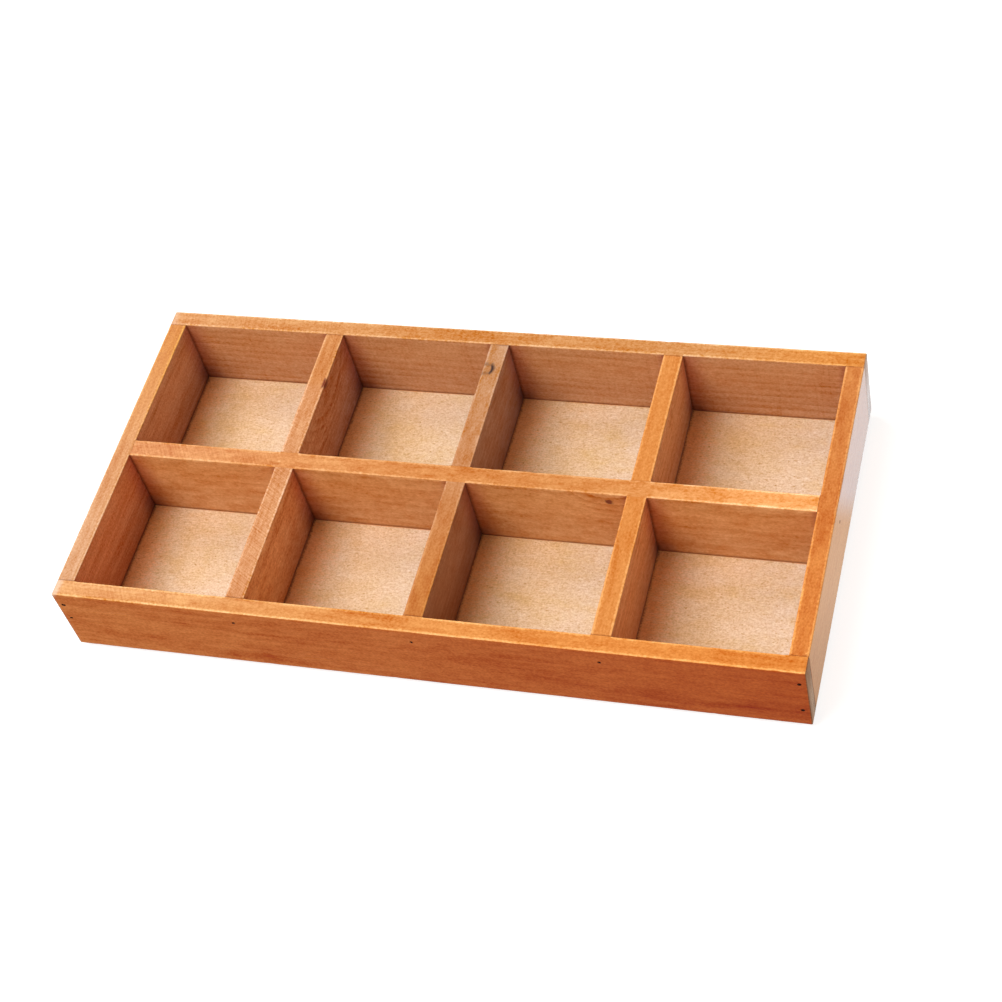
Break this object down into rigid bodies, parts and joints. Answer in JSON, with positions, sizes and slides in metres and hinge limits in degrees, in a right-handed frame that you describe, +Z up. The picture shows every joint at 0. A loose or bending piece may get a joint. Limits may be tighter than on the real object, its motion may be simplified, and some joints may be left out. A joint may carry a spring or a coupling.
{
  "type": "desktop storage box",
  "caption": "Low open-topped wooden tray for a desk, its inside divided by crossing slats into a grid of square compartments, with a thin plywood bottom.",
  "frame": {"origin": "middle of the box on the plane of the plywood's underside, which is what it stands on", "axes": "+X along the long walls towards the right end, +Y from the front wall to the back wall, +Z up out of the open top"},
  "size_m": [0.35, 0.176, 0.0431],
  "materials": {
    "stained_pine": "warm brown stain under a thin satin varnish",
    "bare_plywood": "raw sanded face veneer",
    "brad_steel": "dull drawn wire, darkened by the stain"
  },
  "bodies": {
    "root": {"front_wall": "stained_pine", "back_wall": "stained_pine", "left_end_wall": "stained_pine", "right_end_wall": "stained_pine", "long_divider": "stained_pine", "cross_divider_1": "stained_pine", "cross_divider_2": "stained_pine", "cross_divider_3": "stained_pine", "bottom_panel": "bare_plywood", "front_left_corner_brad_1": "brad_steel", "front_left_corner_brad_2": "brad_steel", "front_right_corner_brad_1": "brad_steel", "front_right_corner_brad_2": "brad_steel", "back_left_corner_brad_1": "brad_steel", "back_left_corner_brad_2": "brad_steel", "back_right_corner_brad_1": "brad_steel", "back_right_corner_brad_2": "brad_steel", "front_divider_brad_1": "brad_steel", "front_divider_brad_2": "brad_steel", "front_divider_brad_3": "brad_steel", "back_divider_brad_1": "brad_steel", "back_divider_brad_2": "brad_steel", "back_divider_brad_3": "brad_steel", "left_divider_brad": "brad_steel", "right_divider_brad": "brad_steel", "panel_front_brad_1": "brad_steel", "panel_front_brad_2": "brad_steel", "panel_front_brad_3": "brad_steel", "panel_front_brad_4": "brad_steel", "panel_back_brad_1": "brad_steel", "panel_back_brad_2": "brad_steel", "panel_back_brad_3": "brad_steel", "panel_back_brad_4": "brad_steel", "panel_left_brad_1": "brad_steel", "panel_left_brad_2": "brad_steel", "panel_right_brad_1": "brad_steel", "panel_right_brad_2": "brad_steel"}
  },
  "joints": []
}
